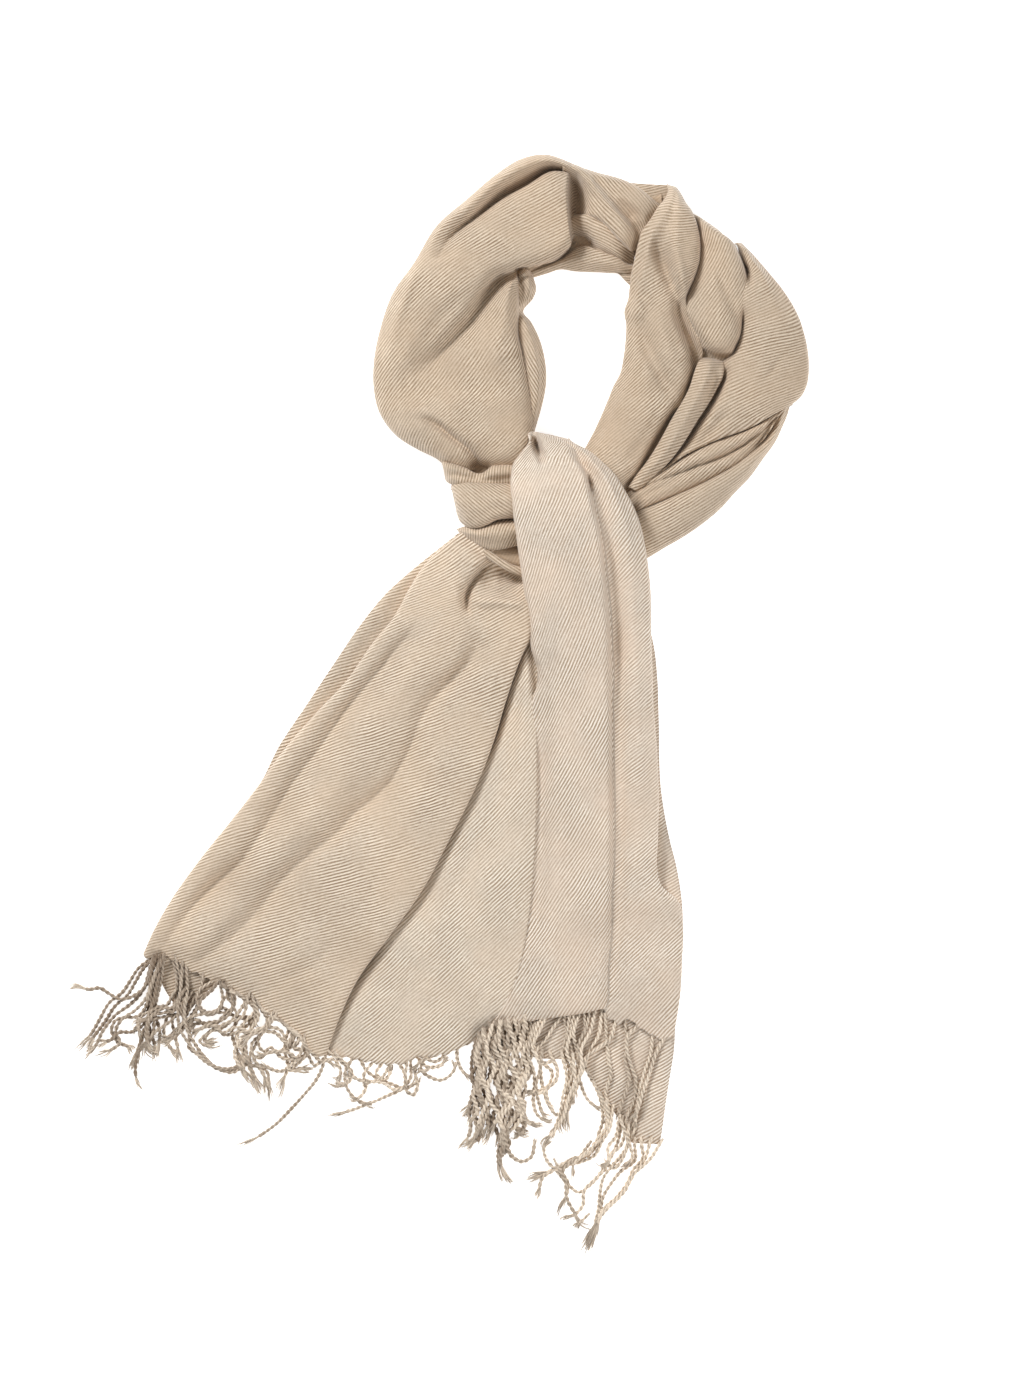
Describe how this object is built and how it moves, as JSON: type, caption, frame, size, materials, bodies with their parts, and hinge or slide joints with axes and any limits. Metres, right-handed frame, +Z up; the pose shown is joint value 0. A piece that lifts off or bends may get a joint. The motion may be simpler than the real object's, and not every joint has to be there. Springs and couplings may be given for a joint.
{
  "type": "fringed wrap scarf",
  "caption": "Wide beige twill scarf with twisted fringe, doubled and looped through itself in a loose knot, lying flat with both tails spread.",
  "frame": {"origin": "on the table that the scarf lies on, under the knot where the tails cross the ring", "axes": "+Z up from the table; +Y from the fringed tails towards the ring; +X to the right as seen from above"},
  "size_m": [0.563, 0.828, 0.057],
  "materials": {
    "neck_cloth": "fine beige twill, soft sheen",
    "tail_cloth": "fine beige twill, soft sheen",
    "hidden_cloth": "fine beige twill, inside layers",
    "fringe_yarn": "twisted yarn, matt"
  },
  "bodies": {
    "root": {"neck_left": "neck_cloth", "neck_left_inner": "neck_cloth", "neck_top_collar": "neck_cloth", "neck_top_under": "neck_cloth", "neck_top_bottom": "neck_cloth", "neck_back_corner": "neck_cloth", "neck_right_inner": "neck_cloth", "neck_right_middle": "neck_cloth", "neck_right_outer": "neck_cloth", "neck_right_finger": "neck_cloth", "neck_lower_band": "neck_cloth", "neck_lower": "neck_cloth", "knot_ruffle": "neck_cloth", "knot_wrap": "neck_cloth", "knot_under": "neck_cloth", "knot_hem": "neck_cloth", "tail_left_front": "tail_cloth", "tail_left_fold": "tail_cloth", "tail_left_back": "tail_cloth", "tail_right_front": "tail_cloth", "tail_right_back": "tail_cloth", "hidden_ring_left": "hidden_cloth", "hidden_ring_top": "hidden_cloth", "hidden_ring_right": "hidden_cloth", "hidden_knot": "hidden_cloth", "hidden_tail_left": "hidden_cloth", "hidden_tail_right": "hidden_cloth", "fringe_left": "fringe_yarn", "fringe_right_bunch": "fringe_yarn", "fringe_right_front": "fringe_yarn", "fringe_right_back": "fringe_yarn"}
  },
  "joints": []
}
